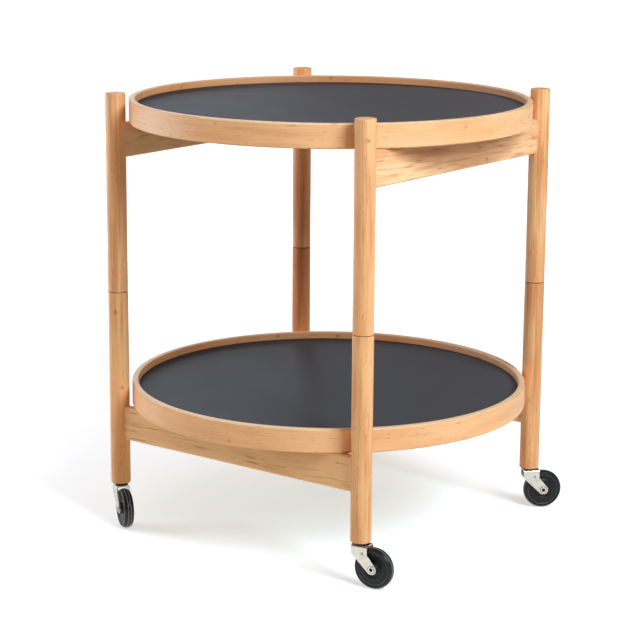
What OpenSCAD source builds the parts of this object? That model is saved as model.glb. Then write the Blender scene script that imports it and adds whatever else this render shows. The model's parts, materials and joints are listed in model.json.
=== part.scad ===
// Folding serving trolley: two round trays on a four-bar frame of round legs, on four casters.
// +Z is up, the floor is z = 0 and the origin lies under the middle of the trays.
// X runs along the two lower beams and Y along the two upper beams.

/* [Trays] */
// Outside diameter of a tray
tray_d = 600; // [500:10:700]
// Height of the tray rim
rim_h = 35; // [28:1:45]
// Wall thickness of the tray rim
rim_wall = 10; // [8:0.5:14]
// Radius on the four edges of the rim
rim_edge = 2; // [0.5:0.1:3]
// Thickness of the tray board with its two laminates
board_t = 10; // [8:0.5:12]
// Thickness of one laminate
laminate_t = 0.8; // [0.6:0.1:1.2]
// Gap between a laminate and the rim
laminate_gap = 0.3; // [0.1:0.1:0.5]
// Depth of the groove that holds the board's core in the rim
groove_depth = 4; // [3:0.5:5]

/* [Legs] */
// Diameter of a leg
leg_d = 30; // [28:0.5:34]
// Distance between the axes of two neighbouring legs
leg_pitch = 452; // [440:1:470]
// Length of one half of a leg
leg_half_h = 297; // [280:1:320]
// Radius on the top edge of a leg
leg_top_edge = 2; // [1:0.1:3]
// Radius on the other edges of the leg halves
leg_end_edge = 0.8; // [0.4:0.1:1.5]

/* [Beams] */
// Height of a beam
beam_h = 52; // [45:1:60]
// Thickness of a beam
beam_t = 12; // [10:0.5:14]
// Radius on the long edges of a beam
beam_edge = 3; // [1:0.1:4]
// Height of the lower beams' top face above the floor
lower_beam_top = 188; // [180:1:200]
// Height of the upper beams' top face above the floor
upper_beam_top = 616; // [600:1:617]
// Thickness of the tenon on a beam's end
tenon_t = 8; // [6:0.5:9]
// Height of the tenon
tenon_h = 36; // [30:1:40]
// Depth of the tenon in the leg
tenon_depth = 20; // [15:0.5:22]

/* [Leg pivots] */
// Diameter of the pivot pin
pivot_pin_d = 10; // [8:0.5:12]
// Length of the pin in each half of the leg
pivot_pin_reach = 38; // [30:1:45]
// Wall of the bush that turns on the pin
bush_wall = 2.5; // [2:0.1:3]
// Radial play of a bush on its pin
pivot_play = 0.05; // [0.03:0.01:0.1]
// Radial play at the pivot that closes the linkage
closing_play = 0.3; // [0.2:0.05:0.5]
// Thickness of the washer between the leg halves
seam_t = 1; // [0.6:0.1:1.5]
// Width by which the washer stays inside the leg's surface
seam_inset = 1.6; // [1:0.1:3]

/* [Casters] */
// Diameter of a wheel
wheel_d = 60; // [50:1:62]
// Width of the tyre
tyre_w = 14; // [12:0.5:16]
// Height of the leg's lower end above the floor
caster_h = 66; // [66:0.5:70]
// Distance from the swivel axis to the wheel axis
trail = 22; // [18:1:24]
// Sheet thickness of the fork
fork_t = 2; // [1.5:0.1:2.5]
// Outside radius of the bend between crown and cheek
fork_bend = 3.5; // [3:0.1:5]
// Width of the crown in the rolling direction
crown_l = 25; // [22:0.5:28]
// Diameter of the hollow rivet that is the axle
axle_d = 7; // [6:0.5:8]
// Diameter of the swivel stem
stem_d = 8; // [7:0.5:9]
// Radial play of the wheel and of the stem
running_play = 0.05; // [0.03:0.01:0.1]
// Rest direction of the front left caster
front_left_angle = -33; // [-180:1:180]
// Rest direction of the front right caster
front_right_angle = 8; // [-180:1:180]
// Rest direction of the rear right caster
rear_right_angle = 45; // [-180:1:180]
// Rest direction of the rear left caster
rear_left_angle = 110; // [-180:1:180]

/* [Hidden] */
$fn = 96;

// Corners: name, side in X, side in Y, rest direction of its caster
CORNERS = [
    ["front_left", -1, -1, front_left_angle],
    ["front_right", 1, -1, front_right_angle],
    ["rear_right", 1, 1, rear_right_angle],
    ["rear_left", -1, 1, rear_left_angle]
];
CORNER_PARTS = [
    "leg_lower", "leg_upper", "pivot_pin", "pivot_bush", "pivot_washer",
    "caster_sleeve", "caster_race", "caster_stem", "caster_fork", "caster_axle", "caster_wheel"
];
BEAMS = ["lower_front_beam", "lower_rear_beam", "upper_left_beam", "upper_right_beam"];
TRAYS = ["lower_tray", "upper_tray"];
TRAY_PARTS = ["rim", "core", "top_laminate", "bottom_laminate"];

// Colours
BEECH = [0.86, 0.66, 0.45];
BEECH_LIGHT = [0.91, 0.74, 0.54];
PLY = [0.72, 0.55, 0.38];
SLATE = [0.29, 0.30, 0.32];
NICKEL = [0.80, 0.76, 0.69];
STEEL = [0.62, 0.63, 0.65];
NYLON = [0.88, 0.87, 0.82];
BLACK = [0.12, 0.12, 0.13];

// Legs
leg_r = leg_d / 2;
leg_x = leg_pitch / 2;
seam_low = caster_h + leg_half_h;
seam_high = seam_low + seam_t;
pin_r = pivot_pin_d / 2;
bush_r = pin_r + bush_wall;

// Beams: a tenon ends past the leg's axis by this much
tenon_past_axis = tenon_depth - leg_r;

// Trays
tray_r = tray_d / 2;
rim_inner_r = tray_r - rim_wall;
board_r = rim_inner_r + groove_depth;
board_low = (rim_h - board_t) / 2;
board_high = board_low + board_t;
core_t = board_t - 2 * laminate_t;
laminate_r = rim_inner_r - laminate_gap;

// Casters, measured from the floor
wheel_r = wheel_d / 2;
axle_r = axle_d / 2;
stem_r = stem_d / 2;
sleeve_wall = 1.5;
sleeve_r = stem_r + running_play + sleeve_wall;
sleeve_reach = 38;
flange_t = 1;
flange_r = 10;
race_t = 2;
race_r = 12;
crown_top = caster_h - flange_t - race_t;
crown_low = crown_top - fork_t;
hub_w = tyre_w + 2.4;
cheek_gap = hub_w + 0.6;
fork_w = cheek_gap + 2 * fork_t;
crown_back = -10;
crown_front = crown_back + crown_l;
cheek_bend_z = crown_top - 13;
cheek_end_r = 7.5;
rivet_head_r = 5;
rivet_head_t = 0.9;
rivet_bore_r = 2;
stem_head_r = 6.5;
stem_head_t = 1.6;
stem_reach = 36;

// ---------- helpers ----------

// Rectangle from (x0, y0) to (x1, y1) with rounded corners
module rounded_rect(x0, y0, x1, y1, r) {
    translate([x0 + r, y0]) square([x1 - x0 - 2 * r, y1 - y0]);
    translate([x0, y0 + r]) square([x1 - x0, y1 - y0 - 2 * r]);
    for (x = [x0 + r, x1 - r]) {
        for (y = [y0 + r, y1 - r]) translate([x, y]) circle(r);
    }
}

// Half section of a turned bar from z = 0 to h, with rounded ends
module bar_section(r, h, low_edge, high_edge) {
    translate([0, low_edge]) square([r, h - low_edge - high_edge]);
    square([r - low_edge, h / 2]);
    translate([0, h / 2]) square([r - high_edge, h / 2]);
    translate([r - low_edge, low_edge]) circle(low_edge);
    translate([r - high_edge, h - high_edge]) circle(high_edge);
}

// Half section of a ring with a rectangular profile
module ring_section(r0, r1, z0, z1) {
    translate([r0, z0]) square([r1 - r0, z1 - z0]);
}

module at_corner(c) {
    translate([c[1] * leg_x, c[2] * leg_x, 0]) children();
}

// Places a caster piece: swivel axis on Z, wheel on the +X side
module at_caster(c) {
    at_corner(c) rotate([0, 0, c[3]]) children();
}

// Upright slot with round ends, as a mortise or a tenon, from x0 to x1 and centred at height z
module tenon_block(x0, x1, z) {
    translate([x0, 0, z]) rotate([90, 0, 90]) linear_extrude(x1 - x0) {
        square([tenon_t, tenon_h - tenon_t], center = true);
        for (s = [-1, 1]) translate([0, s * (tenon_h - tenon_t) / 2]) circle(tenon_t / 2);
    }
}

// ---------- legs ----------

// Lower leg half: mortise towards +X, pin bore at the seam, sleeve bore at the foot
module leg_lower() {
    color(BEECH) difference() {
        translate([0, 0, caster_h])
            rotate_extrude() bar_section(leg_r, leg_half_h, leg_end_edge, leg_end_edge);
        tenon_block(-tenon_past_axis, leg_r + 1, lower_beam_top - beam_h / 2);
        translate([0, 0, seam_low - pivot_pin_reach]) cylinder(r = pin_r, h = pivot_pin_reach + 1);
        translate([0, 0, caster_h - 1]) cylinder(r = sleeve_r, h = sleeve_reach + 1);
    }
}

// Upper leg half: mortise towards +X, bush bore at the seam
module leg_upper() {
    color(BEECH) difference() {
        translate([0, 0, seam_high])
            rotate_extrude() bar_section(leg_r, leg_half_h, leg_end_edge, leg_top_edge);
        tenon_block(-tenon_past_axis, leg_r + 1, upper_beam_top - beam_h / 2);
        translate([0, 0, seam_high - 1]) cylinder(r = bush_r, h = pivot_pin_reach + 1);
    }
}

// ---------- leg pivots ----------

// Steel pin, pressed into the lower half, with chamfered ends
module pivot_pin() {
    chamfer = 1;
    top_gap = 1;
    len = 2 * pivot_pin_reach + seam_t - top_gap;
    color(STEEL) translate([0, 0, seam_low - pivot_pin_reach]) rotate_extrude() polygon([
        [0, 0], [pin_r - chamfer, 0], [pin_r, chamfer],
        [pin_r, len - chamfer], [pin_r - chamfer, len], [0, len]
    ]);
}

// Nylon bush in the upper half
module pivot_bush(play) {
    color(NYLON) translate([0, 0, seam_high])
        rotate_extrude() ring_section(pin_r + play, bush_r, 0, pivot_pin_reach);
}

// Thin washer in the seam, narrower than the leg
module pivot_washer(play) {
    color(BLACK) translate([0, 0, seam_low])
        rotate_extrude() ring_section(pin_r + play, leg_r - seam_inset, 0, seam_t);
}

// ---------- beams ----------

// Beam along X between two legs, with coped ends and a tenon in each leg
module beam(top) {
    color(BEECH) {
        difference() {
            translate([-leg_x, 0, top]) rotate([90, 0, 90]) linear_extrude(leg_pitch)
                rounded_rect(-beam_t / 2, -beam_h, beam_t / 2, 0, beam_edge);
            for (s = [-1, 1]) translate([s * leg_x, 0, top - beam_h - 1]) cylinder(r = leg_r, h = beam_h + 2);
        }
        for (a = [0, 180]) rotate([0, 0, a]) beam_tenon(top);
    }
}

// Tenon at the -X end: its root reaches into the beam, past the coped face
module beam_tenon(top) {
    root = 3;
    tenon_block(-leg_x - tenon_past_axis, -leg_x + leg_r + root, top - beam_h / 2);
}

module lower_front_beam() { translate([0, -leg_x, 0]) beam(lower_beam_top); }
module lower_rear_beam() { translate([0, leg_x, 0]) beam(lower_beam_top); }
module upper_left_beam() { translate([-leg_x, 0, 0]) rotate([0, 0, 90]) beam(upper_beam_top); }
module upper_right_beam() { translate([leg_x, 0, 0]) rotate([0, 0, 90]) beam(upper_beam_top); }

// ---------- trays ----------

// Bent wooden ring with rounded edges and a groove for the core of the board
module tray_rim() {
    color(BEECH_LIGHT) rotate_extrude($fn = 180) difference() {
        rounded_rect(rim_inner_r, 0, tray_r, rim_h, rim_edge);
        translate([rim_inner_r - 1, board_low + laminate_t]) square([groove_depth + 1, core_t]);
    }
}

// Plywood core of the board, whose edge sits in the rim's groove
module tray_core() {
    color(PLY) translate([0, 0, board_low + laminate_t])
        cylinder(r = board_r, h = core_t, $fn = 180);
}

// One laminate inside the rim, with its lower face at height z in the tray
module tray_laminate(z) {
    color(SLATE) translate([0, 0, z]) cylinder(r = laminate_r, h = laminate_t, $fn = 180);
}

module tray_part(part) {
    if (part == "rim") tray_rim();
    if (part == "core") tray_core();
    if (part == "top_laminate") tray_laminate(board_high - laminate_t);
    if (part == "bottom_laminate") tray_laminate(board_low);
}

// ---------- casters ----------

// Flanged sleeve in the foot of the leg, in which the stem turns
module caster_sleeve() {
    color(STEEL) translate([0, 0, caster_h]) rotate_extrude() {
        ring_section(stem_r + running_play, sleeve_r, -flange_t, sleeve_reach);
        ring_section(stem_r + running_play, flange_r, -flange_t, 0);
    }
}

// Bearing race between the sleeve's flange and the fork's crown, with a dished edge
module caster_race() {
    color(BLACK) translate([0, 0, crown_top]) rotate_extrude() polygon([
        [stem_r + running_play, 0], [race_r - 1.2, 0], [race_r, 0.8],
        [race_r, race_t], [stem_r + running_play, race_t]
    ]);
}

// Swivel stem, riveted under the crown
module caster_stem() {
    color(STEEL) translate([0, 0, crown_low]) rotate_extrude() {
        bar_section(stem_r, stem_reach + caster_h - crown_low, 0.4, 1.5);
        intersection() {
            translate([0, -stem_head_t]) square([stem_head_r, stem_head_t]);
            translate([0, stem_head_r * 2 - stem_head_t]) circle(stem_head_r * 2);
        }
    }
}

// U section of the fork across the axle: crown with a round bend into each cheek
module fork_section() {
    half = fork_w / 2;
    inner_bend = fork_bend - fork_t;
    difference() {
        union() {
            translate([-half, 0]) square([fork_w, crown_top - fork_bend]);
            translate([-half + fork_bend, 0]) square([fork_w - 2 * fork_bend, crown_top]);
            for (s = [-1, 1]) translate([s * (half - fork_bend), crown_top - fork_bend]) circle(fork_bend);
        }
        translate([-cheek_gap / 2, -1]) square([cheek_gap, crown_top - fork_bend + 1]);
        translate([-half + fork_bend, -1]) square([fork_w - 2 * fork_bend, crown_low + 1]);
        for (s = [-1, 1]) translate([s * (half - fork_bend), crown_top - fork_bend]) circle(inner_bend);
    }
}

// Point where the line from p touches a circle, on the side given by s
function tangent_point(p, c, r, s) =
    let (
        d = norm(p - c),
        a = atan2(p[1] - c[1], p[0] - c[0]) + s * acos(r / d)
    )
    c + r * [cos(a), sin(a)];

// Side outline of the fork: upright under the crown, then slanting to the round axle end
module cheek_outline() {
    axle_at = [trail, wheel_r];
    back = [crown_back, cheek_bend_z];
    front = [crown_front, cheek_bend_z];
    polygon([
        [crown_back, crown_top], back, tangent_point(back, axle_at, cheek_end_r, 1),
        axle_at, tangent_point(front, axle_at, cheek_end_r, -1), front, [crown_front, crown_top]
    ]);
    translate(axle_at) circle(cheek_end_r);
}

// Pressed sheet fork
module caster_fork() {
    color(NICKEL) difference() {
        intersection() {
            translate([0, fork_w / 2 + 1, 0]) rotate([90, 0, 0]) linear_extrude(fork_w + 2) cheek_outline();
            translate([-50, 0, 0]) rotate([90, 0, 90]) linear_extrude(100) fork_section();
        }
        translate([trail, fork_w, wheel_r]) rotate([90, 0, 0]) cylinder(r = axle_r, h = 2 * fork_w);
        translate([0, 0, crown_low - 1]) cylinder(r = stem_r, h = fork_t + 2);
    }
}

// Hollow rivet through both cheeks, with rolled heads
module caster_axle() {
    half = fork_w / 2;
    color(NICKEL) translate([trail, 0, wheel_r]) rotate([90, 0, 0]) rotate_extrude() difference() {
        union() {
            ring_section(rivet_bore_r, axle_r, -half, half);
            for (s = [-1, 1]) translate([0, s * (half + rivet_head_t / 2)]) rivet_head();
        }
        for (s = [-1, 1]) translate([rivet_bore_r, s * (half + rivet_head_t)]) circle(rivet_head_t * 0.6);
    }
}

// Half section of a rolled rivet head
module rivet_head() {
    edge = rivet_head_t / 2;
    translate([rivet_bore_r, -edge]) square([rivet_head_r - edge - rivet_bore_r, rivet_head_t]);
    translate([rivet_head_r - edge, 0]) circle(edge);
}

// Half section of the wheel: hub, web, and a tyre with a crowned tread
module wheel_section() {
    bore = axle_r + running_play;
    hub_r = 8.5;
    web_r = 24;
    crown_r = 10;
    web_w = tyre_w - 3;
    translate([bore, -hub_w / 2]) square([hub_r - bore, hub_w]);
    translate([bore, -web_w / 2]) square([web_r - bore, web_w]);
    intersection() {
        translate([web_r - 2, -tyre_w / 2]) square([wheel_r - web_r + 3, tyre_w]);
        translate([wheel_r - crown_r, 0]) circle(crown_r);
    }
}

module caster_wheel() {
    color(BLACK) translate([trail, 0, wheel_r]) rotate([90, 0, 0]) rotate_extrude() wheel_section();
}

// ---------- one corner ----------

// Turns a leg half so that its mortise faces the beam
function lower_turn(c) = c[1] > 0 ? 180 : 0;
function upper_turn(c) = c[2] > 0 ? -90 : 90;
function bush_play(c) = c[0] == "rear_right" ? closing_play : pivot_play;

module corner_part(c, part) {
    if (part == "leg_lower") at_corner(c) rotate([0, 0, lower_turn(c)]) leg_lower();
    if (part == "leg_upper") at_corner(c) rotate([0, 0, upper_turn(c)]) leg_upper();
    if (part == "pivot_pin") at_corner(c) pivot_pin();
    if (part == "pivot_bush") at_corner(c) pivot_bush(bush_play(c));
    if (part == "pivot_washer") at_corner(c) pivot_washer(pivot_play);
    if (part == "caster_sleeve") at_corner(c) caster_sleeve();
    if (part == "caster_race") at_corner(c) caster_race();
    if (part == "caster_stem") at_caster(c) caster_stem();
    if (part == "caster_fork") at_caster(c) caster_fork();
    if (part == "caster_axle") at_caster(c) caster_axle();
    if (part == "caster_wheel") at_caster(c) caster_wheel();
}

// ---------- the assembly ----------

for (c = CORNERS) for (p = CORNER_PARTS) {
    corner_part(c, p);
}
lower_front_beam();
lower_rear_beam();
upper_left_beam();
upper_right_beam();
for (p = TRAY_PARTS) {
    translate([0, 0, lower_beam_top]) tray_part(p);
    translate([0, 0, upper_beam_top]) tray_part(p);
}
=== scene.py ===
"""Room service table: wood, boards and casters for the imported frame, and the studio around it."""
import json
import math

import bpy
from mathutils import Matrix, Vector


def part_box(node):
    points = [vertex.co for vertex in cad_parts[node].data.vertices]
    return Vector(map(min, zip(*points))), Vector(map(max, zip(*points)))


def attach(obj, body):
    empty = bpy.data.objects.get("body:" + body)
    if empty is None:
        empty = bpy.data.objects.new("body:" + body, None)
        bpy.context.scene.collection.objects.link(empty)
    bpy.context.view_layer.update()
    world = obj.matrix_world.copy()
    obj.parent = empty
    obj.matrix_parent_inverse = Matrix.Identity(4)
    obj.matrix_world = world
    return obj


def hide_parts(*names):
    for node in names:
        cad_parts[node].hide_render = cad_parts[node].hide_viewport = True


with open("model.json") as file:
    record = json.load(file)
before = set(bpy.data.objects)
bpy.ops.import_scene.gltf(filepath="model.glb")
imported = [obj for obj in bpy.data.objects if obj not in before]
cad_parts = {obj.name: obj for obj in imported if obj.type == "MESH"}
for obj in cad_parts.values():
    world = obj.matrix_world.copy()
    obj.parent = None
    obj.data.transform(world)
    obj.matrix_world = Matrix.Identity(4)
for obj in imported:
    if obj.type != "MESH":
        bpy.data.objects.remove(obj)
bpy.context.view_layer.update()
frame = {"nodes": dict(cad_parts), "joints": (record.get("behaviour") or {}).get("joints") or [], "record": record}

bl_info = {
    "name": "Room Service Table",
    "version": (1, 0, 0),
    "blender": (4, 5, 0),
    "location": "3D View > Sidebar > Service Table",
    "description": "Finishes the wooden service table and sets up its studio",
    "category": "Object",
}

MM = 0.001
CORNERS = ("front_left", "front_right", "rear_right", "rear_left")
BODIES = frame["record"]["behaviour"]["bodies"]
BODY_OF = {node: body for body, nodes in BODIES.items() for node in nodes}
JOINTS = {joint["name"]: joint for joint in frame["joints"]}


def paint(red, green, blue):
    """A colour given as 0 to 255 on a screen, as the linear values that a shader takes."""
    shares = [part / 255 for part in (red, green, blue)]
    return [s / 12.92 if s <= 0.04045 else ((s + 0.055) / 1.055) ** 2.4 for s in shares]


def times(tint, factor):
    """A colour made lighter or darker."""
    return [part * factor for part in tint]


# ---------- settings ----------


def colour(name, description, default):
    """A colour, in linear values."""
    return bpy.props.FloatVectorProperty(
        name=name, description=description, default=default, size=3, min=0, max=1, subtype="COLOR")


def length(name, description, default):
    """A length in metres."""
    return bpy.props.FloatProperty(
        name=name, description=description, default=default, min=0, unit="LENGTH",
        subtype="DISTANCE")


def share(name, description, default):
    """A number from 0 to 1."""
    return bpy.props.FloatProperty(
        name=name, description=description, default=default, min=0, max=1, subtype="FACTOR")


def amount(name, description, default):
    """A plain number from 0 up."""
    return bpy.props.FloatProperty(name=name, description=description, default=default, min=0)


def power(name, description, default):
    """The power of a light in watts."""
    return bpy.props.FloatProperty(
        name=name, description=description, default=default, min=0, unit="POWER")


class WoodSettings(bpy.types.PropertyGroup):
    leg_pale: colour("Leg Early Wood", "Pale wood between a leg's lines", paint(244, 190, 132))
    leg_brown: colour("Leg Late Wood", "Brown wood of a leg's growth lines", paint(196, 122, 66))
    # The redder leg's colours are partly its own tone, partly painted warm shade
    russet_pale: colour("Russet Early Wood", "Pale wood of the redder leg", paint(252, 184, 118))
    russet_brown: colour("Russet Late Wood", "Brown wood of the redder leg", paint(200, 116, 56))
    beam_pale: colour("Beam Early Wood", "Pale wood between a beam's lines", paint(255, 211, 158))
    beam_brown: colour("Beam Late Wood", "Brown wood of a beam's growth lines", paint(198, 128, 78))
    rim_pale: colour("Rim Early Wood", "Pale wood between a rim's lines", paint(246, 194, 140))
    rim_brown: colour("Rim Late Wood", "Brown wood of a rim's growth lines", paint(206, 140, 86))
    honey: colour("Honey", "Warm cast that drifts through the wood", paint(226, 151, 92))
    knot: colour("Knots", "Brown of knots and pores", paint(158, 86, 44))
    # Painted shadow in the gap where a board meets its rim
    joint: colour("Joint Shadow", "Dark line where a board meets its rim", paint(44, 26, 16))
    # Painted shade, darker on the inside walls of the rims
    rim_inside_shade: colour("Rim Inside", "Darker cast of the inside of a rim", paint(214, 176, 150))
    # Painted highlight on the upward faces of the rims' top edges
    top_edge_highlight: colour("Top Edge Highlight", "Pale wood along the rims' top edges", paint(246, 222, 184))
    knots: amount("Knot Density", "Knots to a metre of wood", 26)
    ring_gap: length("Growth Line Gap", "Distance between two growth lines", 3.4 * MM)
    fibre: length("Fibre Width", "Width of the fine fibres", 0.7 * MM)
    roughness: share("Roughness", "Roughness of the oiled wood", 0.46)


class BoardSettings(bpy.types.PropertyGroup):
    slate: colour("Laminate", "Colour of the boards' laminate", paint(69, 70, 73))
    core: colour("Core", "Colour of the plywood core", paint(190, 150, 108))
    ply: length("Layer", "Thickness of a layer of the plywood core", 2.6 * MM)
    roughness: share("Roughness", "Roughness of the laminate", 0.55)


class CasterSettings(bpy.types.PropertyGroup):
    nickel: colour("Nickel", "Satin nickel of the forks and rivets", paint(208, 200, 186))
    grime: colour("Grime", "Grime round the rivets and in the pressed marks", paint(96, 76, 62))
    rubber: colour("Tyre", "Black of the wheels", paint(17, 17, 19))
    disc: colour("Wheel Disc", "Black of the wheels' side discs", paint(12, 12, 13))
    # Pale dust with a painted highlight on the tread's parting line, and a painted highlight round the disc's edge
    mould_line_dust_and_sheen: colour("Mould Line", "Pale dust and painted highlight along the tyre's lines", paint(168, 168, 170))
    # Dull steel of the bore, darker than the plate partly as painted shade inside the hole
    rivet_bore_and_shade: colour("Rivet Bore", "Dull steel inside the rivets", paint(84, 76, 66))
    sleeve: colour("Sleeve", "Steel of the sleeves and stems", paint(150, 146, 140))
    race: colour("Race", "Dark steel of the races", paint(58, 54, 50))
    fork_edge: length("Fork Edge", "Rounding of the fork's sheet edges", 0.8 * MM)
    dimple_radius: length("Dimple Radius", "Radius of the pressed mark in each cheek", 2.1 * MM)
    dimple_depth: length("Dimple Depth", "Depth of the pressed mark in each cheek", 0.7 * MM)


class PivotSettings(bpy.types.PropertyGroup):
    pin: colour("Pin", "Bright steel of the pivot pins", paint(168, 170, 173))
    bush: colour("Bush", "Pale nylon of the pivot bushes", paint(228, 225, 214))
    washer: colour("Washer", "Dark nylon of the washers in the seams", paint(62, 46, 34))


class StudioSettings(bpy.types.PropertyGroup):
    floor: colour("Floor", "Colour of the studio floor", paint(250, 250, 250))
    camera_place: bpy.props.FloatVectorProperty(
        name="Camera Place", description="Where the camera stands", size=3,
        subtype="TRANSLATION", default=(1.8321, -2.4717, 1.0184))
    camera_aim: bpy.props.FloatVectorProperty(
        name="Camera Aim", description="Direction in which the camera looks", size=3,
        subtype="DIRECTION", default=(-0.5838, 0.7803, -0.2242))
    camera_roll: bpy.props.FloatProperty(
        name="Camera Roll", description="Turn of the camera about its own axis", unit="ROTATION",
        subtype="ANGLE", default=math.radians(0.405))
    focal_length: bpy.props.FloatProperty(
        name="Focal Length", description="Focal length of the camera in millimetres", min=10,
        default=116.47)
    world_light: amount("Room Light", "Strength of the light from all round", 0.2)
    room_colour: colour("Room Colour", "Warm light from all round", (1.0, 0.62, 0.42))
    lamp_colour: colour("Lamp Colour", "Cool light of the soft lamps", (0.72, 0.86, 1.0))
    bounce_colour: colour("Bounce Colour", "Light that the floor sends up", (1.0, 0.9, 0.6))
    key_power: power("Key Light", "Power of the soft light on the right", 88)
    fill_power: power("Fill Light", "Power of the soft light on the left", 54)
    back_power: power("Back Light", "Power of the soft light behind on the left", 14)
    top_power: power("Top Light", "Power of the soft light overhead", 14)
    bounce_power: power("Floor Bounce", "Power of the light that the floor sends up", 105)


class TableSettings(bpy.types.PropertyGroup):
    wood: bpy.props.PointerProperty(
        type=WoodSettings, name="Wood", description="Legs, beams and rims")
    board: bpy.props.PointerProperty(
        type=BoardSettings, name="Boards", description="The trays' boards")
    caster: bpy.props.PointerProperty(
        type=CasterSettings, name="Casters", description="Forks and wheels")
    pivot: bpy.props.PointerProperty(
        type=PivotSettings, name="Pivots", description="Pins, bushes and washers")
    studio: bpy.props.PointerProperty(
        type=StudioSettings, name="Studio", description="Floor, lights and camera")


# ---------- shader maths ----------


class Value:
    """A number that varies over a surface. Arithmetic on it adds the Math nodes."""

    def __init__(self, nodes, socket):
        self.nodes = nodes
        self.socket = socket

    def maths(self, operation, *terms):
        settings = {"operation": operation}
        return self.nodes.node("ShaderNodeMath", settings, dict(enumerate(terms)))

    def __add__(self, other):
        return self.maths("ADD", self, other)

    def __sub__(self, other):
        return self.maths("SUBTRACT", self, other)

    def __rsub__(self, other):
        return self.maths("SUBTRACT", other, self)

    def __mul__(self, other):
        return self.maths("MULTIPLY", self, other)

    def __pow__(self, other):
        return self.maths("POWER", self, other)

    __radd__ = __add__
    __rmul__ = __mul__

    def between(self, low, high):
        """0 below low, 1 above high, and a smooth step from one to the other."""
        settings = {"interpolation_type": "SMOOTHSTEP"}
        return self.nodes.node("ShaderNodeMapRange", settings, {0: self, 1: low, 2: high})

    def band(self, begin, full, fade, end):
        """1 from full to fade, 0 before begin and after end, with smooth steps between them."""
        return self.between(begin, full) * (1 - self.between(fade, end))


class Nodes:
    """The nodes of a material or of the room, and the one call that adds to them."""

    def __init__(self, tree):
        self.tree = tree

    def node(self, kind, settings, inputs, output=0):
        """Adds a node: first its settings, then a value or a link for each socket."""
        made = self.tree.nodes.new(kind)
        for key, value in settings.items():
            setattr(made, key, value)
        for key, value in inputs.items():
            self.feed(made.inputs[key], value)
        return Value(self, made.outputs[output])

    def feed(self, socket, value):
        if isinstance(value, Value):
            self.tree.links.new(value.socket, socket)
        elif socket.type == "RGBA" and len(value) == 3:
            socket.default_value = (*value, 1)
        else:
            socket.default_value = value


class Finish(Nodes):
    """A material in the making: its shader, and the calls that add nodes in front of it."""

    def __init__(self, name, **constants):
        self.material = bpy.data.materials.new(name)
        self.material.use_nodes = True
        super().__init__(self.material.node_tree)
        self.shader = self.tree.nodes["Principled BSDF"]
        for socket, value in constants.items():
            self.shader.inputs[socket.replace("_", " ")].default_value = value

    def mix(self, factor, first, second, blend="MIX"):
        """A colour between two colours."""
        settings = {"data_type": "RGBA", "blend_type": blend}
        return self.node("ShaderNodeMix", settings, {0: factor, 6: first, 7: second}, 2)

    def shade(self, tone, first, second):
        """A colour between two colours, where tone may go below 0 and above 1."""
        return self.mix(self.node("ShaderNodeClamp", {}, {0: tone}), first, second)

    def place(self, output="Object"):
        """The point or the normal in the piece's own space, which is the table's at rest."""
        return self.node("ShaderNodeTexCoord", {}, {}, output)

    def moved(self, vector, shift=(0, 0, 0), turn=(0, 0, 0), scale=(1, 1, 1)):
        """The vector scaled, then turned, then shifted."""
        return self.node("ShaderNodeMapping", {}, {0: vector, 1: shift, 2: turn, 3: scale})

    def part_of(self, vector, axis):
        """A vector's X, Y or Z, which are 0, 1 and 2."""
        return self.node("ShaderNodeSeparateXYZ", {}, {0: vector}, axis)

    def length_of(self, vector):
        return self.node("ShaderNodeVectorMath", {"operation": "LENGTH"}, {0: vector}, 1)

    def noise(self, vector, scale, detail, roughness, depth=None):
        """Soft noise whose spots are about 1 / scale wide. depth is a fourth coordinate."""
        inputs = {"Vector": vector, "Scale": scale, "Detail": detail, "Roughness": roughness}
        if depth is None:
            return self.node("ShaderNodeTexNoise", {"noise_dimensions": "3D"}, inputs)
        return self.node("ShaderNodeTexNoise", {"noise_dimensions": "4D"}, {**inputs, "W": depth})

    def wave(self, settings, vector, gap, sway=None):
        """Lines that are gap apart, from 0 to 1."""
        inputs = {"Vector": vector, "Scale": WAVE_GAP / gap, **(sway or {})}
        return self.node("ShaderNodeTexWave", settings, inputs, 1)

    def bump(self, height, distance, strength):
        inputs = {"Strength": strength, "Distance": distance, "Height": height}
        return self.node("ShaderNodeBump", {}, inputs)

    def wear(self, **sockets):
        """Feeds the shader's own sockets and returns the material."""
        for socket, value in sockets.items():
            self.feed(self.shader.inputs[socket.replace("_", " ")], value)
        return self.material


# ---------- finishes ----------

# Metres between two lines of the wave node at scale 1
WAVE_GAP = 2 * math.pi / 20
# Growth lines and fibres are drawn out: a distance along the grain counts for this share of it
GRAIN_STRETCH = 0.035
FIBRE_STRETCH = 0.02
# Sway of the growth lines along the piece, and how narrow their brown part is
SWAY = {"Distortion": 11.0, "Detail": 2.5, "Detail Scale": 0.28, "Detail Roughness": 0.55}
LINE_SHARPNESS = 2.6
# The wood's slow changes. Each has the share for which a distance along the grain counts, its
# spots to a metre, its detail and roughness, and the noise that is none of it and all of it
CHANGES = {
    "line_strength": (GRAIN_STRETCH, 110, 2, 0.6, 0.4, 0.7),
    "broad_streaks": (0.1, 78, 2, 0.5, 0.38, 0.62),
    "ribbons": (0.05, 210, 1, 0.5, 0.38, 0.66),
    "patches": (0.4, 17, 2, 0.5, 0.36, 0.66),
    "honey": (0.14, 44, 2, 0.55, 0.42, 0.7),
}
# Distances from a tray's axis at which the inside of its rim ends, and with it the painted shade there
RIM_INSIDE = (290.6 * MM, 292.6 * MM)
# Heights over the board at which the painted shadow line along it ends
JOINT_SHADOW_LINE = (1.4 * MM, 3.2 * MM)


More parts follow.
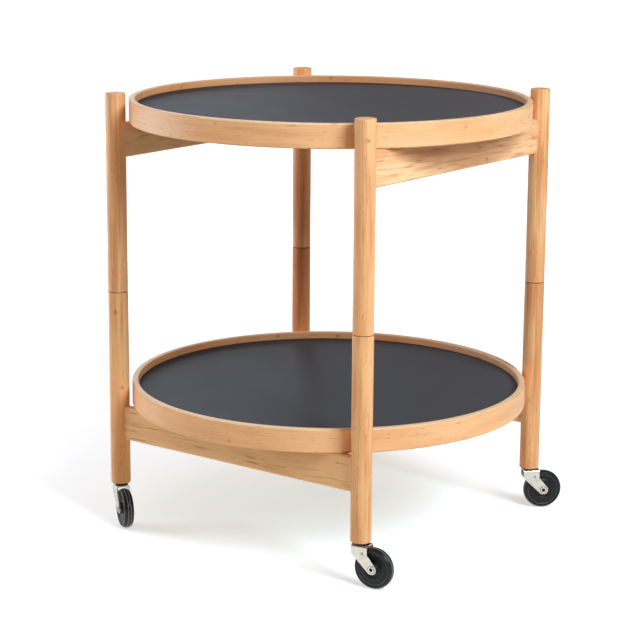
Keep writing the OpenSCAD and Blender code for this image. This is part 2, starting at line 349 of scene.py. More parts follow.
def wood(name, grain, pale, brown, shift, turn, streaks, tan, board_top=None, pores=1.0):
    """Oiled wood whose grain runs along X, Y or Z, or round the Z axis. shift and turn choose where
    in the tree it is cut. streaks is how strong they are, tan darkens the whole piece, and pores
    above 1 make its dark pores longer and denser. board_top is the board's height in a rim."""
    look = bpy.context.scene.service_table.wood
    finish = Finish(name, Specular_IOR_Level=0.35, Coat_Roughness=0.35, Coat_Weight=0.12)
    point = finish.place()
    along = "XYZ".find(grain)
    depth = None
    lines = {"wave_type": "RINGS", "rings_direction": grain, "wave_profile": "SAW"}
    if grain == "ROUND":
        depth = finish.length_of(finish.moved(point, scale=(1, 1, 0)))
        lines = {"wave_type": "BANDS", "bands_direction": "Z", "wave_profile": "SAW"}
    board = finish.moved(point, shift=shift, turn=turn)

    def stretched(factor):
        """The board's space, where a distance along the grain counts for a share of it."""
        if grain == "ROUND":
            return finish.moved(board, scale=(factor, factor, 1))
        return finish.moved(board, scale=[factor if axis == along else 1 for axis in range(3)])

    def change(kind):
        """One of the wood's slow changes, from 0 to 1."""
        factor, scale, detail, roughness, none, full = CHANGES[kind]
        return finish.noise(stretched(factor), scale, detail, roughness, depth).between(none, full)

    # Growth lines, some strong and some faint, with a slow sway along the piece
    rings = finish.wave(lines, stretched(GRAIN_STRETCH), look.ring_gap, SWAY)
    late_wood = (rings ** LINE_SHARPNESS) * change("line_strength")
    # Fine fibres, short dark flecks among them, and a few small knots
    fibres = stretched(FIBRE_STRETCH)
    fine = finish.noise(fibres, 1 / look.fibre, 2, 0.65, depth)
    wide = finish.noise(fibres, 0.34 / look.fibre, 2, 0.6, depth)
    flecks = finish.noise(stretched(0.09 / pores), 640 / pores, 1, 0.5)
    flecks = flecks.between(0.72 - 0.05 * pores, 0.79 - 0.04 * pores)
    knot = finish.node("ShaderNodeTexVoronoi", {}, {"Vector": board, "Scale": look.knots})
    knot_ring = 1 - knot.between(0.03, 0.17)
    knot_core = 1 - knot.between(0.03, 0.075)

    # The factors say how much browner each of them makes the wood
    streaky = late_wood * 0.6 + wide.between(0.3, 0.78) * 0.24
    streaky = streaky + change("ribbons") * 0.34 + change("broad_streaks") * 0.44
    tone = streaky * streaks + change("patches") * 0.3 + knot_ring * 0.4 + (tan - 0.5)
    skin = finish.shade(tone, pale, brown)
    skin = finish.mix(change("honey") * 0.36, skin, look.honey)
    skin = finish.mix(fine.between(0.25, 0.8) * 0.2, skin, brown, "MULTIPLY")
    skin = finish.mix(flecks * 0.5 + knot_core * 0.55, skin, look.knot)
    if board_top is not None:
        # A painted highlight where the top edge faces up, and a painted shadow line where the board meets the
        # inside of the rim
        upward = finish.part_of(finish.place("Normal"), 2)
        skin = finish.mix(upward.between(0.25, 0.95) * 0.42, skin, look.top_edge_highlight)
        # Painted shade on the inside of the rim, which faces the dark board instead of the bright floor
        inside = 1 - depth.between(*RIM_INSIDE)
        skin = finish.mix(inside * 0.6, skin, look.rim_inside_shade, "MULTIPLY")
        # A painted shadow line, low on the inside of the rim, just over the board
        line = [board_top + rise for rise in JOINT_SHADOW_LINE]
        joint = inside * (1 - finish.part_of(point, 2).between(*line))
        skin = finish.mix(joint * 0.9, skin, look.joint)
    rough = fine * 0.16 + late_wood * -0.06 + (look.roughness - 0.05)
    relief = fine * 0.6 + wide * 0.3 - flecks * 0.8 - knot_core
    normal = finish.bump(relief, 0.12 * MM, 0.6)
    return finish.wear(Base_Color=skin, Roughness=rough, Normal=normal)


def laminate(name, shift, light, fade):
    """Matt slate laminate with a faint mottle and a fine grain. light is a painted shade of the whole board,
    and fade is how much a painted light pales it over a metre of the board."""
    look = bpy.context.scene.service_table.board
    finish = Finish(name, Specular_IOR_Level=0.2)
    place = finish.place()
    # A painted pool of light, paler towards +X and +Y
    painted_light_drift = (finish.part_of(place, 0) * 0.8 + finish.part_of(place, 1) * 0.6) * fade
    point = finish.moved(place, shift=shift)
    cloud = finish.noise(point, 1.7, 1, 0.5).between(0.2, 0.8)
    mottle = finish.noise(point, 11, 3, 0.55)
    speckle = finish.noise(point, 900, 2, 0.6)
    wiped = finish.moved(point, turn=(0, 0, 0.6), scale=(1, 0.06, 1))
    wiped = finish.noise(wiped, 60, 3, 0.6)
    tone = painted_light_drift + cloud * 0.16 + mottle * 0.16 + speckle * 0.1 + wiped * 0.04 + 0.27
    skin = finish.shade(tone, times(look.slate, light * 0.6), times(look.slate, light * 1.4))
    rough = wiped * 0.04 + mottle * 0.1 + (look.roughness - 0.07)
    normal = finish.bump(speckle, 0.05 * MM, 0.35)
    return finish.wear(Base_Color=skin, Roughness=rough, Normal=normal)


def plywood():
    """Layered core, which shows only where a board's edge is open."""
    look = bpy.context.scene.service_table.board
    finish = Finish("board_plywood", Specular_IOR_Level=0.3)
    point = finish.place()
    lines = {"wave_type": "BANDS", "bands_direction": "Z", "wave_profile": "TRI"}
    layers = finish.wave(lines, point, look.ply).between(0.35, 0.6)
    fibres = finish.noise(finish.moved(point, scale=(0.05, 0.05, 1)), 900, 2, 0.6)
    skin = finish.mix(layers * 0.6 + fibres * 0.25, look.core, times(look.core, 0.5))
    rough = fibres * 0.2 + 0.6
    normal = finish.bump(fibres, 0.1 * MM, 0.5)
    return finish.wear(Base_Color=skin, Roughness=rough, Normal=normal)


def about_axle(finish, corner):
    """Distance from a caster's axle, distance along it from the wheel's middle, and both as a
    point in the wheel's own space."""
    back = axle_place(corner).inverted()
    local = finish.moved(finish.place(), shift=back.translation, turn=back.to_euler())
    radius = finish.length_of(finish.moved(local, scale=(1, 0, 1)))
    return radius, finish.part_of(local, 1), local


def nickel(name, scale=1.0, corner=None):
    """Satin nickel plate with a faint rolled texture and dull patches. scale makes them finer. On a
    corner's fork, grime lies round the rivet and in the pressed marks."""
    look = bpy.context.scene.service_table.caster
    finish = Finish(name, Metallic=1.0)
    point = finish.place()
    cloud = finish.noise(point, 140 * scale, 3, 0.6)
    rolled = finish.noise(finish.moved(point, scale=(1, 1, 0.08)), 1800 * scale, 2, 0.6)
    dull = cloud.between(0.35, 0.75) * 0.6 + rolled * 0.2
    skin = finish.mix(dull, look.nickel, times(look.nickel, 0.74))
    rough = cloud * 0.18 + rolled * 0.08 + 0.2
    if corner is not None:
        radius, _, local = about_axle(finish, corner)
        ring = radius.band(*GRIME_RING)
        trail, height = axle_at()
        shift = (trail - DIMPLE_AT[0], 0, height - DIMPLE_AT[1])
        away = finish.length_of(finish.moved(local, shift=shift, scale=(1, 0, 1)))
        dimple = 1 - away.between(*DIMPLE_GRIME)
        skin = finish.mix(ring * 0.75 + dimple * 0.6, skin, look.grime)
        rough = rough + ring * 0.2 + dimple * 0.2
    normal = finish.bump(rolled, 0.03 * MM, 0.4)
    return finish.wear(Base_Color=skin, Roughness=rough, Normal=normal)


def steel(name, tint, dullness):
    """Bare or blackened steel with turning marks and grease patches."""
    finish = Finish(name, Metallic=0.85)
    point = finish.place()
    patches = finish.noise(point, 220, 3, 0.6)
    marks = finish.noise(finish.moved(point, scale=(0.2, 0.2, 1)), 2200, 2, 0.5)
    skin = finish.mix(patches.between(0.4, 0.7) * 0.7, tint, times(tint, 0.55))
    rough = patches * 0.2 + marks * 0.1 + dullness
    normal = finish.bump(marks, 0.04 * MM, 0.5)
    return finish.wear(Base_Color=skin, Roughness=rough, Normal=normal)


def nylon(name, tint):
    """Moulded nylon, a little waxy."""
    finish = Finish(name, Specular_IOR_Level=0.4)
    cloud = finish.noise(finish.place(), 300, 3, 0.6)
    skin = finish.mix(cloud, tint, times(tint, 0.8))
    rough = cloud * 0.2 + 0.4
    normal = finish.bump(cloud, 0.05 * MM, 0.5)
    return finish.wear(Base_Color=skin, Roughness=rough, Normal=normal)


def black_rubber(name, tint, dust, corner):
    """Black moulded tyre or disc with a satin skin and fine scuffs. Its parting line is pale with dust and a
    painted highlight, and the disc's edge has a painted highlight."""
    look = bpy.context.scene.service_table.caster
    finish = Finish(name, Specular_IOR_Level=0.28)
    point = finish.place()
    cloud = finish.noise(point, 160, 3, 0.6)
    grain = finish.noise(point, 2600, 2, 0.6)
    scuffs = finish.moved(point, turn=(0.4, 0.5, 0.2), scale=(0.15, 1, 1))
    scuffs = finish.noise(scuffs, 900, 3, 0.7)
    radius, along, _ = about_axle(finish, corner)
    side = along.maths("ABSOLUTE", along)
    # Pale dust and a painted highlight on the tread's parting line, and a painted highlight round the disc's edge
    parting_dust_and_sheen = side.band(*PARTING_LINE) * radius.between(*TREAD_BEGINS)
    disc_edge_highlight = radius.band(*DISC_EDGE_HIGHLIGHT)
    dusty = [part * 3.2 + 0.016 for part in tint]
    dirt = cloud.between(0.42, 0.75) * dust + scuffs.between(0.58, 0.75) * (0.7 * dust)
    skin = finish.mix(dirt, tint, dusty)
    lines = (parting_dust_and_sheen + disc_edge_highlight * 0.5) * (cloud * 0.5 + 0.1)
    skin = finish.mix(lines, skin, look.mould_line_dust_and_sheen)
    rough = cloud * 0.2 + grain * 0.1 + 0.22
    normal = finish.bump(grain * 0.6 + scuffs * 0.4, 0.06 * MM, 0.5)
    return finish.wear(Base_Color=skin, Roughness=rough, Normal=normal)


def dress(node, material):
    """Gives a CAD node its finish, in all of its material slots."""
    piece = frame["nodes"][node]
    if not piece.material_slots:
        piece.data.materials.append(material)
    for slot in piece.material_slots:
        slot.material = material


# ---------- meshes ----------


def solid(name, points, faces, materials, body, replaced):
    """Makes a piece from points and faces, in place of a CAD node, on the node's body."""
    mesh = bpy.data.meshes.new(name)
    mesh.from_pydata(points, [], faces)
    mesh.validate()
    for material in materials:
        mesh.materials.append(material)
    for polygon in mesh.polygons:
        polygon.use_smooth = True
    piece = bpy.data.objects.new(name, mesh)
    bpy.context.scene.collection.objects.link(piece)
    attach(piece, body)
    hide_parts(replaced)
    return piece


def turned(name, profile, steps, corner, materials, replaced):
    """Turns a closed profile of (radius, along, material) about a caster's axle into a piece."""
    place = axle_place(corner)
    count = len(profile)
    points = []
    for step in range(steps):
        turn = 2 * math.pi * step / steps
        for radius, along, _ in profile:
            points.append(place @ Vector((radius * math.cos(turn), along, radius * math.sin(turn))))
    faces = []
    marks = []
    for step in range(steps):
        here = step * count
        there = (step + 1) % steps * count
        for i in range(count):
            j = (i + 1) % count
            faces.append((here + i, here + j, there + j, there + i))
            marks.append(profile[i][2])
    piece = solid(name, points, faces, materials, BODY_OF[replaced], replaced)
    for polygon, mark in zip(piece.data.polygons, marks):
        polygon.material_index = mark


def arc(centre, radius, start, end, steps, mark):
    """Part of a profile: a circular arc, in degrees from the first axis."""
    turns = [math.radians(start + (end - start) * i / steps) for i in range(steps + 1)]
    return [(centre[0] + radius * math.cos(t), centre[1] + radius * math.sin(t), mark)
            for t in turns]


def caster_frame(corner):
    """Placing matrix of a caster: swivel axis on Z from the floor, wheel to +X, axle along Y."""
    swivel = Vector(JOINTS[corner + "_swivel"]["pos_m"])
    trail = Vector(JOINTS[corner + "_wheel_spin"]["pos_m"]) - swivel
    turn = Matrix.Rotation(math.atan2(trail.y, trail.x), 4, "Z")
    return Matrix.Translation((swivel.x, swivel.y, 0)) @ turn


def axle_at():
    """The axle in the caster's own frame: how far behind the swivel axis, and how high."""
    swivel = Vector(JOINTS[CORNERS[0] + "_swivel"]["pos_m"])
    axle = Vector(JOINTS[CORNERS[0] + "_wheel_spin"]["pos_m"])
    return math.hypot(axle.x - swivel.x, axle.y - swivel.y), axle.z


def axle_place(corner):
    """Placing matrix of a wheel: its middle at the origin, axle along Y."""
    trail, height = axle_at()
    return caster_frame(corner) @ Matrix.Translation((trail, 0, height))


# ---------- caster pieces ----------

# The fork, in the caster's own frame. Below UPRIGHT_LOW its cheeks taper to a round end, BEND and
# CHEEK_END are radii, and DIMPLE_AT is how far behind the swivel axis and how high the mark is
SHEET = 2 * MM
CROWN_TOP = 63 * MM
CROWN_BACK = -10 * MM
CROWN_FRONT = 15 * MM
UPRIGHT_LOW = 50 * MM
FORK_HALF = 10.5 * MM
BEND = 3.5 * MM
CHEEK_END = 7.5 * MM
DIMPLE_AT = (7.6 * MM, 52 * MM)
RIVET_BODY = 3.5 * MM
# Steps of its mesh: across the sheet, round a cheek's end, up the cheek, round the bend and over
# the crown. The end's first steps are left out, because they would be too slim
FORK_COLUMNS = 30
END_STEPS = 12
END_SKIPPED = 3
CHEEK_STEPS = 30
BEND_STEPS = 8
CROWN_STEPS = 8

# Where grime, dust and painted highlights lie. A band begins, is full, fades and ends at its four distances
GRIME_RING = (4.6 * MM, 5 * MM, 5.4 * MM, 6.4 * MM)
DIMPLE_GRIME = (0.9 * MM, 2.4 * MM)
DISC_EDGE_HIGHLIGHT = (22.8 * MM, 23.3 * MM, 23.9 * MM, 24.5 * MM)
PARTING_LINE = (1 * MM, 1.6 * MM, 2.6 * MM, 3.4 * MM)
TREAD_BEGINS = (27.2 * MM, 28 * MM)

# Material slots of the rivet and of the wheel
PLATE = 0
BORE = 1
TYRE = 0
DISC = 1


def tangent(point, centre, radius, side):
    """Where the line from a point touches a circle."""
    away = Vector(point) - Vector(centre)
    turn = math.atan2(away.y, away.x) + side * math.acos(radius / away.length)
    return centre[0] + radius * math.cos(turn), centre[1] + radius * math.sin(turn)


def cheek_width(height, axle):
    """Back and front edge of the fork's cheek at a height."""
    if height >= UPRIGHT_LOW:
        return CROWN_BACK, CROWN_FRONT
    edges = []
    for start, side in ((CROWN_BACK, 1), (CROWN_FRONT, -1)):
        touch = tangent((start, UPRIGHT_LOW), axle, CHEEK_END, side)
        if height > touch[1]:
            along = (UPRIGHT_LOW - height) / (UPRIGHT_LOW - touch[1])
            edges.append(start + (touch[0] - start) * along)
        else:
            reach = math.sqrt(max(CHEEK_END ** 2 - (height - axle[1]) ** 2, 0))
            edges.append(axle[0] - side * reach)
    return edges


def fork_path(axle):
    """Stations across the bent sheet: (y, z, normal y, normal z, back edge, front edge)."""
    middle = BEND - SHEET / 2
    corner_y = FORK_HALF - BEND
    corner_z = CROWN_TOP - BEND
    half = []
    for step in range(END_SKIPPED, END_STEPS + 1):
        turn = math.radians(90 * step / END_STEPS)
        half.append((corner_y + middle, axle[1] - CHEEK_END * math.cos(turn), 1, 0))
    for step in range(1, CHEEK_STEPS):
        half.append((corner_y + middle, axle[1] + (corner_z - axle[1]) * step / CHEEK_STEPS, 1, 0))
    for step in range(BEND_STEPS + 1):
        turn = math.radians(90 * step / BEND_STEPS)
        out = (math.cos(turn), math.sin(turn))
        half.append((corner_y + middle * out[0], corner_z + middle * out[1], *out))
    crown = [(corner_y * (1 - 2 * step / CROWN_STEPS), corner_z + middle, 0, 1)
             for step in range(1, CROWN_STEPS)]
    other = [(-y, z, -ny, nz) for y, z, ny, nz in reversed(half)]
    return [(y, z, ny, nz, *cheek_width(z, axle)) for y, z, ny, nz in half + crown + other]


def fork_points(stations, axle, place, look):
    """Points of the sheet's outer and inner face with the pressed dimples, and the numbers of the
    points on the edges of the rivet's two holes."""
    points = []
    bored = set()
    for side in (0.5, -0.5):
        for y, z, ny, nz, back, front in stations:
            for column in range(FORK_COLUMNS + 1):
                x = back + (front - back) * column / FORK_COLUMNS
                away = math.hypot(x - DIMPLE_AT[0], z - DIMPLE_AT[1]) / look.dimple_radius
                sunk = look.dimple_depth * math.exp(-away ** 4) * abs(ny)
                # Points of a cheek within the rivet's hole move out to its edge
                height = z
                on_cheek = abs(ny) > 0.99
                reach = max(math.hypot(x - axle[0], z - axle[1]), 0.01 * MM)
                if on_cheek and reach < RIVET_BODY:
                    bored.add(len(points))
                    x = axle[0] + (x - axle[0]) * RIVET_BODY / reach
                    height = axle[1] + (z - axle[1]) * RIVET_BODY / reach
                out = side * SHEET - sunk
                points.append(place @ Vector((x, y + ny * out, height + nz * out)))
    return points, bored


def fork_mesh(axle, place, look):
    """The pressed fork: one bent sheet with a dimple and a bored hole in each cheek. The third
    result is the edges to round, as pairs of points."""
    stations = fork_path(axle)
    points, bored = fork_points(stations, axle, place, look)
    columns = FORK_COLUMNS + 1
    layer = len(stations) * columns
    faces = []
    drawn = set()
    for row in range(len(stations) - 1):
        for column in range(FORK_COLUMNS):
            a = row * columns + column
            ring = (a, a + 1, a + columns + 1, a + columns)
            if bored.issuperset(ring):
                continue
            faces.append(ring)
            faces.append(tuple(layer + point for point in reversed(ring)))
            drawn.update((ring[i], ring[(i + 1) % 4]) for i in range(4))
    # The sheet's edges: its outline, which is rounded, and the holes' walls, which aren't
    rounded = set()
    for start, end in sorted(drawn):
        if (end, start) not in drawn:
            faces.append((end, start, layer + start, layer + end))
            if not bored.issuperset((start, end)):
                rounded.update([(start, end), (layer + start, layer + end)])
    used = sorted({point for face in faces for point in face})
    number = {point: index for index, point in enumerate(used)}
    points = [points[point] for point in used]
    faces = [tuple(number[point] for point in face) for face in faces]
    rounded = {tuple(sorted((number[start], number[end]))) for start, end in rounded}
    return points, faces, rounded


def rivet_profile():
    """Closed profile of the hollow rivet, with a rolled lip at each end and a dark bore, partly painted shade."""
    head = 5 * MM
    bore = 2.5 * MM
    dark_end = FORK_HALF - 3 * MM
    roll = 0.45 * MM
    inner_roll = 0.6 * MM
    half = [(RIVET_BODY, FORK_HALF, PLATE)]
    half += arc((head - roll, FORK_HALF + roll), roll, -90, 90, 6, PLATE)
    half += [(3.9 * MM, FORK_HALF + 0.8 * MM, PLATE)]
    half += arc((bore + inner_roll, FORK_HALF + 0.15 * MM), inner_roll, 80, 180, 6, PLATE)
    # The dark bore begins where the lip ends; its darkness is partly painted shade
    half[-1] = (*half[-1][:2], BORE)
    half += [(bore, dark_end, BORE)]
    # In the mirrored half, the mark of a line comes from the point before it
    other = [(half[i][0], -half[i][1], half[i - 1][2]) for i in range(len(half) - 1, -1, -1)]
    return half + other


def wheel_profile():
    """Closed profile of the wheel: bore, hub, disc with a raised ring, and tyre with two tread
    lines."""
    bore = 3.55 * MM
    bore_edge = 0.3 * MM
    hub = 8.5 * MM
    hub_half = 8.2 * MM
    hub_edge = 0.8 * MM
    fillet = 1.2 * MM
    disc = 24 * MM
    disc_half = 5.5 * MM
    ring_half = disc_half + 0.35 * MM
    tyre_half = 7 * MM
    tread_centre = 20 * MM
    tread_radius = 10 * MM
    tread_steps = 14
    line_step = 5
    line_depth = 0.3 * MM

    half = [(bore, hub_half - bore_edge, DISC), (bore + bore_edge, hub_half, DISC),
            (hub - hub_edge, hub_half, DISC)]
    half += arc((hub - hub_edge, hub_half - hub_edge), hub_edge, 75, 0, 4, DISC)
    half += arc((hub + fillet, disc_half + fillet), fillet, 180, 270, 4, DISC)
    # The raised ring on the disc, then the tyre's bead and its side
    half += [(13.2 * MM, disc_half, DISC), (13.5 * MM, ring_half, DISC),
             (14.5 * MM, ring_half, DISC), (14.8 * MM, disc_half, DISC)]
    half += [(22.2 * MM, disc_half, DISC), (disc - 0.6 * MM, disc_half - 0.25 * MM, TYRE),
             (disc, disc_half + 0.3 * MM, TYRE), (disc + 0.4 * MM, tyre_half - 0.35 * MM, TYRE),
             (disc + 1 * MM, tyre_half, TYRE), (26.4 * MM, tyre_half, TYRE)]
    # The round tread up to the wheel's middle
    edge = math.degrees(math.atan2(tyre_half, math.sqrt(tread_radius ** 2 - tyre_half ** 2)))
    for step in range(tread_steps + 1):
        turn = math.radians(edge * (1 - step / tread_steps))
        reach = tread_radius - (line_depth if step == line_step else 0)
        half.append((tread_centre + reach * math.cos(turn), reach * math.sin(turn), TYRE))
    other = [(radius, -along, mark) for radius, along, mark in reversed(half[:-1])]
    return half + other


# ---------- operators ----------


class TableOperator:
    """Common parts of the table's operators."""

    bl_options = {"REGISTER", "UNDO"}

    def execute(self, context):
        self.make(context.scene.service_table)
        return {"FINISHED"}


class DressLegs(TableOperator, bpy.types.Operator):
    """Finish the eight leg halves in oiled wood with upright grain"""

    bl_idname = "service_table.dress_legs"
    bl_label = "Dress Legs"

    # Each corner's wood, and how much browner its lower and its upper half are
    # The rear left leg's redder wood and browner lower half are partly its own tone, partly painted shade between
    # the trays
    LEGS = {"front_left": ("leg", -0.1, 0.04), "front_right": ("leg", 0.1, -0.05),
            "rear_right": ("leg", 0.4, 0.3), "rear_left": ("russet", 0.92, 0.32)}
    STREAKS = 0.85

    def make(self, look):
        for index, corner in enumerate(CORNERS):
            palette, *tans = self.LEGS[corner]
            pale = getattr(look.wood, palette + "_pale")
            brown = getattr(look.wood, palette + "_brown")
            for half, part in enumerate(("leg_lower", "leg_upper")):
                node = corner + "_" + part
                low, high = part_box(node)
                axis = (low + high) / 2
                # Each half is cut from its own place in the tree
                pith = Vector((34 + 6 * index, 21 - 11 * half, 400 * index + 900 * half)) * MM
                shift = pith - Vector((axis.x, axis.y, 0))
                turn = (0.012 - 0.005 * index, 0.016 * half - 0.007, 0)
                material = wood(node + "_beech", "Z", pale, brown, shift, turn, self.STREAKS,
                                tans[half])
                dress(node, material)


class DressBeams(TableOperator, bpy.types.Operator):
    """Finish the four beams in oiled wood with brown streaks along them"""

    bl_idname = "service_table.dress_beams"
    bl_label = "Dress Beams"

    # Each beam's grain, how strong its streaks are and how much browner it is
    # The paler lower front and upper left beams are partly their own tone, partly painted light for the trays'
    # shade over them
    BEAMS = {"lower_front_beam": ("X", 1.3, -0.5), "lower_rear_beam": ("X", 1.3, 0.0),
             "upper_left_beam": ("Y", 0.9, -0.3), "upper_right_beam": ("Y", 0.7, 0.38)}
    PORES = 1.8

    def make(self, look):
        for index, (node, (grain, streaks, tan)) in enumerate(self.BEAMS.items()):
            low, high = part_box(node)
            middle = (low + high) / 2
            # Each beam is cut from its own place in the tree
            shift = Vector((31, 27, 58 - 20 * index)) * MM - middle
            turn = (0, 0.014, 0.01 * index) if grain == "X" else (0.014, 0, 0.01 * index)
            material = wood(node + "_beech", grain, look.wood.beam_pale, look.wood.beam_brown,
                            shift, turn, streaks, tan, pores=self.PORES)
            dress(node, material)


class DressTrays(TableOperator, bpy.types.Operator):
    """Finish each tray's bent rim, its plywood core and its slate laminates"""

    bl_idname = "service_table.dress_trays"
    bl_label = "Dress Trays"

    # The painted shade of each tray's board, and how much a painted light pales it over a metre
    TRAYS = {"lower_tray": (0.92, 0.6), "upper_tray": (1.0, 1.6)}
    RIM_STREAKS = 0.7
    RIM_TAN = -0.1

    def make(self, look):
        core = plywood()
        for index, (tray, board_painted_light) in enumerate(self.TRAYS.items()):
            board_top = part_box(tray + "_top_laminate")[1].z
            rim = wood(tray + "_rim_beech", "ROUND", look.wood.rim_pale, look.wood.rim_brown,
                       (0, 0, 0.7 * index + 0.13), (0, 0, 0), self.RIM_STREAKS, self.RIM_TAN,
                       board_top)
            sheet = laminate(tray + "_slate", (0.4 * index, 0.3, 0), *board_painted_light)
            dress(tray + "_rim", rim)
            dress(tray + "_core", core)
            dress(tray + "_top_laminate", sheet)
            dress(tray + "_bottom_laminate", sheet)


class DressPivots(TableOperator, bpy.types.Operator):
    """Finish the pins, bushes and washers in the seams of the legs"""

    bl_idname = "service_table.dress_pivots"
    bl_label = "Dress Pivots"

    def make(self, look):
        pin = steel("pivot_pin_steel", look.pivot.pin, dullness=0.22)
        bush = nylon("pivot_bush_nylon", look.pivot.bush)
        washer = nylon("pivot_washer_nylon", look.pivot.washer)
        for corner in CORNERS:
            dress(corner + "_pivot_pin", pin)
            dress(corner + "_pivot_bush", bush)
            dress(corner + "_pivot_washer", washer)


class DressCasterMounts(TableOperator, bpy.types.Operator):
    """Finish the sleeves, races and stems that hold the casters"""

    bl_idname = "service_table.dress_caster_mounts"
    bl_label = "Dress Caster Mounts"

    def make(self, look):
        sleeve = steel("caster_sleeve_steel", look.caster.sleeve, dullness=0.25)
        race = steel("caster_race_steel", look.caster.race, dullness=0.35)
        for corner in CORNERS:
            dress(corner + "_caster_sleeve", sleeve)
            dress(corner + "_caster_race", race)
            dress(corner + "_caster_stem", sleeve)


class BuildForks(TableOperator, bpy.types.Operator):
    """Build the four pressed forks with rounded edges and a dimple in each cheek"""

    bl_idname = "service_table.build_forks"
    bl_label = "Build Forks"

    def make(self, look):
        for corner in CORNERS:
            plate = nickel(corner + "_fork_nickel", corner=corner)
            node = corner + "_caster_fork"
            points, faces, rounded = fork_mesh(axle_at(), caster_frame(corner), look.caster)
            piece = solid(corner + "_fork_sheet", points, faces, [plate], BODY_OF[node],
                          node)
            weights = piece.data.attributes.new("bevel_weight_edge", "FLOAT", "EDGE")
            for edge in piece.data.edges:
                weights.data[edge.index].value = 1 if edge.key in rounded else 0
            bevel = piece.modifiers.new("edge", "BEVEL")
            bevel.width = look.caster.fork_edge
            bevel.segments = 3
            bevel.limit_method = "WEIGHT"
            bevel.harden_normals = True


class BuildAxles(TableOperator, bpy.types.Operator):
    """Build the four hollow rivets with rolled lips"""

    bl_idname = "service_table.build_axles"
    bl_label = "Build Axles"

    STEPS_ROUND = 64

    def make(self, look):
        plate = nickel("rivet_nickel", scale=2.0)
        bore = steel("rivet_bore_steel", look.caster.rivet_bore_and_shade, dullness=0.45)
        for corner in CORNERS:
            turned(corner + "_rivet", rivet_profile(), self.STEPS_ROUND, corner, [plate, bore],
                   corner + "_caster_axle")


class BuildWheels(TableOperator, bpy.types.Operator):
    """Build the four wheels: hub, disc with a ring, and tyre with tread lines"""

    bl_idname = "service_table.build_wheels"
    bl_label = "Build Wheels"

    STEPS_ROUND = 128
    TYRE_DUST = 0.14
    DISC_DUST = 0.05

    def make(self, look):
        caster = look.caster
        for corner in CORNERS:
            tyre = black_rubber(corner + "_tyre_black", caster.rubber, self.TYRE_DUST, corner)
            disc = black_rubber(corner + "_wheel_disc_black", caster.disc, self.DISC_DUST, corner)
            turned(corner + "_wheel_turned", wheel_profile(), self.STEPS_ROUND, corner,
                   [tyre, disc], corner + "_caster_wheel")


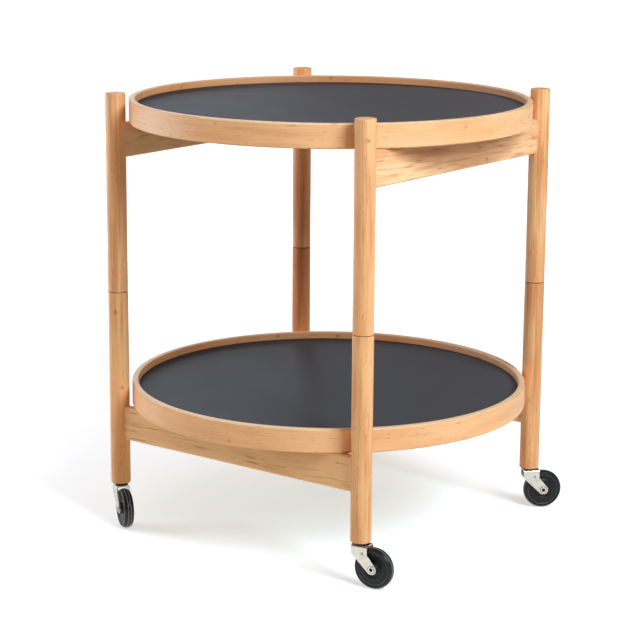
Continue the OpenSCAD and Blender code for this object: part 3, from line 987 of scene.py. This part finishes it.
class SetStudio(TableOperator, bpy.types.Operator):
    """Set up the pale floor, the soft lights and the camera"""

    bl_idname = "service_table.set_studio"
    bl_label = "Set Studio"

    FLOOR_HALF = 8.0
    # How bright the floor shows of itself: warm in the middle, where light comes to it from the
    # wood above, cooler from the first ring on, and white from the second
    MIDDLE_GLOW = (0.47, 0.475, 0.415)
    OUTER_GLOW = (0.464, 0.478, 0.468)
    FAR_GLOW = 1.1
    FIRST_RING = (0.2, 0.42)
    SECOND_RING = (0.9, 2.6)
    BACKDROP_GLOW = 1.05
    # Each light's azimuth and elevation in degrees, its distance and width in metres, and the
    # settings that hold its power and its colour. They face the middle of the table
    LIGHTS = {
        "key_light": (75, 34, 2.8, 1.2, "key_power", "lamp_colour"),
        "fill_light": (-68, 12, 2.8, 1.7, "fill_power", "lamp_colour"),
        "back_light": (-125, 13, 2.8, 1.6, "back_power", "lamp_colour"),
        "top_light": (0, 86, 2.8, 2.0, "top_power", "lamp_colour"),
        "floor_bounce": (0, -89.9, 1.2, 7.0, "bounce_power", "bounce_colour"),
    }
    TABLE_MIDDLE = Vector((0, 0, 0.35))
    # The camera's sensor in millimetres, and how far it sees in metres
    SENSOR_WIDTH = 36
    FARTHEST = 100

    def make(self, look):
        self.lay_floor(look.studio)
        self.light_room(look.studio)
        for name, light in self.LIGHTS.items():
            self.hang_light(look.studio, name, *light)
        self.stand_camera(look.studio)

    def lay_floor(self, studio):
        half = self.FLOOR_HALF
        mesh = bpy.data.meshes.new("studio_floor")
        corners = [(-half, -half, 0), (half, -half, 0), (half, half, 0), (-half, half, 0)]
        mesh.from_pydata(corners, [], [(0, 1, 2, 3)])
        floor = bpy.data.objects.new("studio_floor", mesh)
        # The floor's bounce comes from a light under it, so that its strength is set by itself
        floor.visible_diffuse = False
        floor.visible_shadow = False
        bpy.context.scene.collection.objects.link(floor)
        finish = Finish("studio_floor", Specular_IOR_Level=0.0, Emission_Strength=1.0)
        away = finish.length_of(finish.place())
        middle, outer = [[part * glow for part, glow in zip(studio.floor, glows)]
                         for glows in (self.MIDDLE_GLOW, self.OUTER_GLOW)]
        near = finish.mix(away.between(*self.FIRST_RING), middle, outer)
        far = times(studio.floor, self.FAR_GLOW)
        glow = finish.mix(away.between(*self.SECOND_RING), near, far)
        mesh.materials.append(
            finish.wear(Base_Color=studio.floor, Emission_Color=glow, Roughness=0.9))

    def light_room(self, studio):
        """Gives the room an even light, and the camera a white backdrop."""
        world = bpy.data.worlds.new("studio_room")
        bpy.context.scene.world = world
        world.use_nodes = True
        nodes = Nodes(world.node_tree)
        nodes.tree.nodes.remove(nodes.tree.nodes["Background"])
        room = nodes.node("ShaderNodeBackground", {}, {
            "Color": studio.room_colour, "Strength": studio.world_light})
        seen = nodes.node("ShaderNodeBackground", {}, {
            "Color": (1, 1, 1), "Strength": self.BACKDROP_GLOW})
        direct = nodes.node("ShaderNodeLightPath", {}, {}, "Is Camera Ray")
        choice = nodes.node("ShaderNodeMixShader", {}, {0: direct, 1: room, 2: seen})
        nodes.feed(nodes.tree.nodes["World Output"].inputs["Surface"], choice)

    def hang_light(self, studio, name, azimuth, elevation, distance, width, power_of, tint_of):
        """Hangs a square soft light that faces the table's middle."""
        turn = math.radians(azimuth)
        rise = math.radians(elevation)
        level = math.cos(rise)
        out = Vector((math.sin(turn) * level, -math.cos(turn) * level, math.sin(rise)))
        light = bpy.data.lights.new(name, "AREA")
        light.shape = "SQUARE"
        light.size = width
        light.energy = getattr(studio, power_of)
        light.color = getattr(studio, tint_of)
        lamp = bpy.data.objects.new(name, light)
        lamp.visible_camera = False
        lamp.location = self.TABLE_MIDDLE + out * distance
        lamp.rotation_euler = out.to_track_quat("Z", "Y").to_euler()
        bpy.context.scene.collection.objects.link(lamp)

    def stand_camera(self, studio):
        back = -Vector(studio.camera_aim).normalized()
        right = Vector((0, 0, 1)).cross(back).normalized()
        upright = Matrix((right, back.cross(right), back)).transposed()
        rolled = upright @ Matrix.Rotation(studio.camera_roll, 3, "Z")
        camera = bpy.data.cameras.new("camera")
        camera.sensor_width = self.SENSOR_WIDTH
        camera.lens = studio.focal_length
        camera.clip_end = self.FARTHEST
        holder = bpy.data.objects.new("camera", camera)
        holder.matrix_world = Matrix.Translation(studio.camera_place) @ rolled.to_4x4()
        bpy.context.scene.collection.objects.link(holder)
        bpy.context.scene.camera = holder
        bpy.context.scene.view_settings.view_transform = "Standard"


class TablePanel(bpy.types.Panel):
    """Lists the steps that finish the table, and their settings."""

    bl_idname = "VIEW3D_PT_service_table"
    bl_label = "Service Table"
    bl_space_type = "VIEW_3D"
    bl_region_type = "UI"
    bl_category = "Service Table"

    def draw(self, context):
        for operator in STEPS:
            self.layout.operator(operator.bl_idname)
        look = context.scene.service_table
        for group in (look.wood, look.board, look.caster, look.pivot, look.studio):
            box = self.layout.box()
            for name in group.__annotations__:
                box.prop(group, name)


STEPS = (DressLegs, DressBeams, DressTrays, DressPivots, DressCasterMounts, BuildForks,
         BuildAxles, BuildWheels, SetStudio)
GROUPS = (WoodSettings, BoardSettings, CasterSettings, PivotSettings, StudioSettings,
          TableSettings)
CLASSES = GROUPS + STEPS + (TablePanel,)


def register():
    for part in CLASSES:
        bpy.utils.register_class(part)
    bpy.types.Scene.service_table = bpy.props.PointerProperty(type=TableSettings)


def unregister():
    del bpy.types.Scene.service_table
    for part in reversed(CLASSES):
        bpy.utils.unregister_class(part)


def main():
    register()
    for step in STEPS:
        group, name = step.bl_idname.split(".")
        getattr(getattr(bpy.ops, group), name)()


if __name__ == "__main__":
    main()
